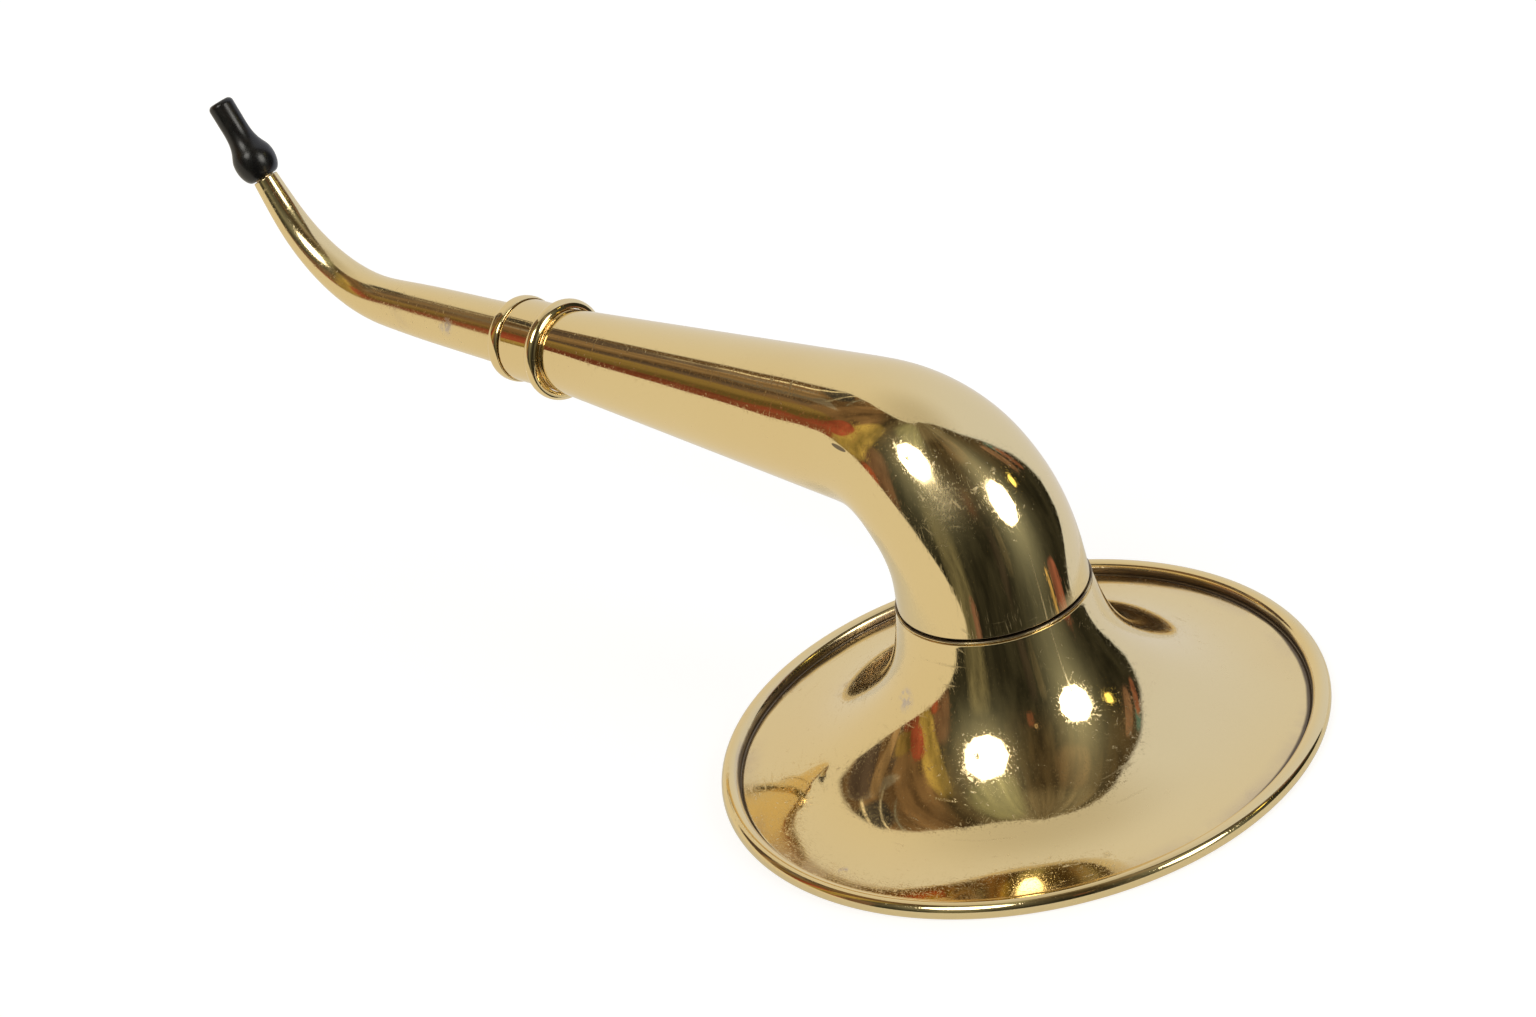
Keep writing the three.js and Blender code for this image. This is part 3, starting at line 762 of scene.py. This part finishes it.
def inside_opening(edge):
    left = wn.minus(azimuth, wn.curve(elevation, OPENING_LEFT))
    right = wn.minus(wn.curve(elevation, OPENING_RIGHT), azimuth)
    return wn.times(wn.ramp(left, -edge, edge), wn.ramp(right, -edge, edge))


def patch(base, az, el, half_az, half_el, colour, soft=0.35, lean=0.0, keep=1.0):
    """Paints a rounded patch of the room's light over base."""
    u = wn.minus(azimuth, az)
    if lean:
        u = wn.minus(u, wn.times(wn.minus(elevation, el), lean))
    u = wn.math("POWER", wn.math("ABSOLUTE", wn.math("DIVIDE", u, half_az)), 3.0)
    v = wn.math("POWER", wn.math("ABSOLUTE", wn.math("DIVIDE", wn.minus(elevation, el), half_el)), 3.0)
    shape = wn.ramp(wn.plus(u, v), 1 + soft, 1 - soft)
    return wn.mix(wn.times(shape, keep) if keep != 1.0 else shape, base, colour)


def toward(az, el):
    a, e = math.radians(az), math.radians(el)
    level = Vector(FRONT) * math.cos(a) + Vector(SIDE) * math.sin(a)
    return level * math.cos(e) + Vector((0, 0, math.sin(e)))


def octagon(az, el, half, soft):
    """An eight-sided softbox that faces the object: 1 on its cloth, 0 outside."""
    middle = toward(az, el)
    across = Vector((0, 0, 1)).cross(middle).normalized()
    above = middle.cross(across)
    depth = wn.most(wn.dot(ray, tuple(middle)), 0.02)
    size = math.tan(math.radians(half))
    u = wn.math("ABSOLUTE", wn.math("DIVIDE", wn.dot(ray, tuple(across)), wn.times(depth, size)))
    v = wn.math("ABSOLUTE", wn.math("DIVIDE", wn.dot(ray, tuple(above)), wn.times(depth, size)))
    reach = wn.most(wn.most(u, v), wn.times(wn.plus(u, v), math.sqrt(0.5)))
    return wn.ramp(reach, 1 + soft, 1 - soft)


def glow_round(az, el, wide, high):
    """A soft glow round a lamp, falling off in a bell curve."""
    u = wn.math("DIVIDE", wn.minus(azimuth, az), wide)
    v = wn.math("DIVIDE", wn.minus(elevation, el), high)
    return wn.math("EXPONENT", wn.times(wn.plus(wn.times(u, u), wn.times(v, v)), -0.5))


# the tent: warm on the left, cool on the right, darker overhead
sides = wn.mix(wn.ramp(wn.dot(ray, SIDE), -0.7, 0.9), (0.755, 0.695, 0.57), (0.71, 0.735, 0.82))
tent = wn.mix(wn.ramp(elevation, 50, 85, 0.0, 0.55), sides, (0.46, 0.42, 0.33))

# the room: dark, with streaks of furniture, people and lamps
streaks = wn.noise(wn.vector(wn.times(azimuth, 0.11), wn.times(elevation, 0.035), 0.0), 1.0, 3.0, 0.6)
room = wn.mix(wn.ramp(elevation, 10, 60), (0.028, 0.027, 0.019), (0.066, 0.048, 0.026))
# patches of the room's light: azimuth, elevation, half width, half height, colour, softness, lean
ROOM_PATCHES = [
    (-114, 30, 28, 40, (0.17, 0.105, 0.055), 0.5),
    (20, 88, 200, 16, (0.15, 0.12, 0.075), 0.7),
    (-48, 70, 24, 11, (0.23, 0.225, 0.125), 0.9),
    (-132, 46, 9, 6, (0.05, 0.045, 0.04), 0.5),
    (-126, 36, 12, 2.6, (0.26, 0.22, 0.18), 0.4, 1.5),
    (-135, 40, 0.8, 12, (0.70, 0.62, 0.46), 0.6, -0.5),
    (-129, 46, 0.7, 9, (0.60, 0.54, 0.42), 0.6, -0.9),
    (-125, 52, 0.9, 7, (0.30, 0.30, 0.26), 0.6, -1.2),
    (-133, 26, 6, 12, (0.075, 0.055, 0.045), 0.4),
    (-121, 24, 3.5, 15, (0.30, 0.20, 0.11), 0.3, -0.4),
    (-114, 20, 3, 13, (0.09, 0.065, 0.05), 0.4, -0.3),
    (-89, 32, 8, 24, (0.38, 0.28, 0.085), 0.5, 0.2),
    (-110, 23, 7, 6, (0.21, 0.145, 0.05), 0.5),
    (-106, 13, 7, 5.5, (0.24, 0.075, 0.04), 0.4),
    (-99.5, 26, 5.5, 9.5, (0.28, 0.07, 0.04), 0.3, 0.2),
    (-76, 12, 8, 20, (0.14, 0.08, 0.05), 0.6),
    (-84, 4, 4, 8, (0.26, 0.07, 0.035), 0.6),
    (-38, -8, 10, 26, (0.13, 0.12, 0.075), 0.8),
    (-30, -28, 3, 9, (0.20, 0.11, 0.08), 0.5),
    (22, 4, 3, 14, (0.10, 0.085, 0.055), 0.7),
    (13, -2, 4, 20, (0.034, 0.028, 0.022), 0.7),
    (38, 62, 16, 10, (0.13, 0.085, 0.045), 0.8),
    (5, 30, 3, 6, (0.14, 0.06, 0.035), 0.6),
    (9, 36, 1.6, 1.8, (0.60, 0.42, 0.24), 0.6),
    (91, 32, 2.6, 13, (0.20, 0.12, 0.08), 0.4, -0.45),
    (96, 40, 1.6, 14, (0.05, 0.045, 0.04), 0.4, -0.45),
    (98, 30, 1.6, 12, (0.07, 0.13, 0.13), 0.4, -0.45),
    (101, 24, 1.6, 10, (0.26, 0.11, 0.07), 0.4, -0.45),
    (76, -26, 6, 12, (0.24, 0.085, 0.06), 0.35, -0.3),
    (67, -27, 1.6, 11, (0.60, 0.40, 0.14), 0.5, -0.3),
]
for row in ROOM_PATCHES:
    room = patch(room, *row)
room = wn.mix(1.0, room, wn.vector(*[wn.ramp(streaks, 0.30, 0.72, 0.55, 1.6)] * 3), "MULTIPLY")

light = wn.mix(inside_opening(1.5), tent, room)

LAMP_COLOUR = (1.0, 0.97, 0.9)
LAMP_STRENGTH = 6.0
LAMP_HALF = 12.5  # half its width, in degrees
# azimuth, elevation, and the width, height and strength of the glow
LAMPS = [(-42, 47, 17, 20, 0.31), (48, 25, 13, 29, 0.34)]
for az, el, wide, high, glow in LAMPS:
    hazy = wn.times(glow_round(az, el, wide, high), glow)
    light = wn.mix(1.0, light, wn.vector(wn.times(hazy, 0.96), hazy, wn.times(hazy, 0.82)), "ADD")
    light = wn.mix(octagon(az, el, LAMP_HALF, 0.04), light, tuple(LAMP_STRENGTH * c for c in LAMP_COLOUR))
# a dark fitting on the left lamp's cloth, and a small yellow lamp at the right
light = patch(light, -50, 46, 2.2, 2.0, (0.30, 0.29, 0.22), 0.7)
light = patch(light, 79.5, 25, 3.0, 3.0, (2.4, 2.0, 0.55), 0.4)

seen = wn.add("ShaderNodeLightPath").outputs["Is Camera Ray"]
sky = wn.mix(seen, light, (1.0, 1.0, 1.0))
back = wn.add("ShaderNodeBackground", {"Color": sky, "Strength": 1.0})
wn.add("ShaderNodeOutputWorld", {"Surface": back.outputs[0]})

# ---- Camera ----

RISE = math.radians(29.129)
ROLL = math.radians(-13.58)
DISTANCE = 0.990227
SENSOR = 36
LENS = 99.050015625
LOOK_ASIDE = -0.047737  # the point looked at, from the middle of the rim
LOOK_UP = 0.076363

camera_data = bpy.data.cameras.new("camera")
camera = bpy.data.objects.new("camera", camera_data)
bpy.context.scene.collection.objects.link(camera)
bpy.context.scene.camera = camera
camera_data.sensor_width = SENSOR
camera_data.lens = LENS
camera_data.clip_start, camera_data.clip_end = 0.05, 50

offset = Matrix.Rotation(TURN, 3, "Z") @ Vector((LOOK_ASIDE, 0, 0))
target = Vector((AXIS_X, 0, BEAD_HEIGHT * MM + LOOK_UP)) + offset
back_dir = Vector((math.sin(TURN) * math.cos(RISE), -math.cos(TURN) * math.cos(RISE), math.sin(RISE)))
right = (-back_dir).cross(Vector((0, 0, 1))).normalized()
up = right.cross(-back_dir)
rolled_right = right * math.cos(ROLL) + up * math.sin(ROLL)
rolled_up = up * math.cos(ROLL) - right * math.sin(ROLL)
axes = Matrix((rolled_right, rolled_up, back_dir)).transposed()
camera.matrix_world = Matrix.Translation(target + back_dir * DISTANCE) @ axes.to_4x4()

bpy.context.scene.view_settings.view_transform = "Standard"

low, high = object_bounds()
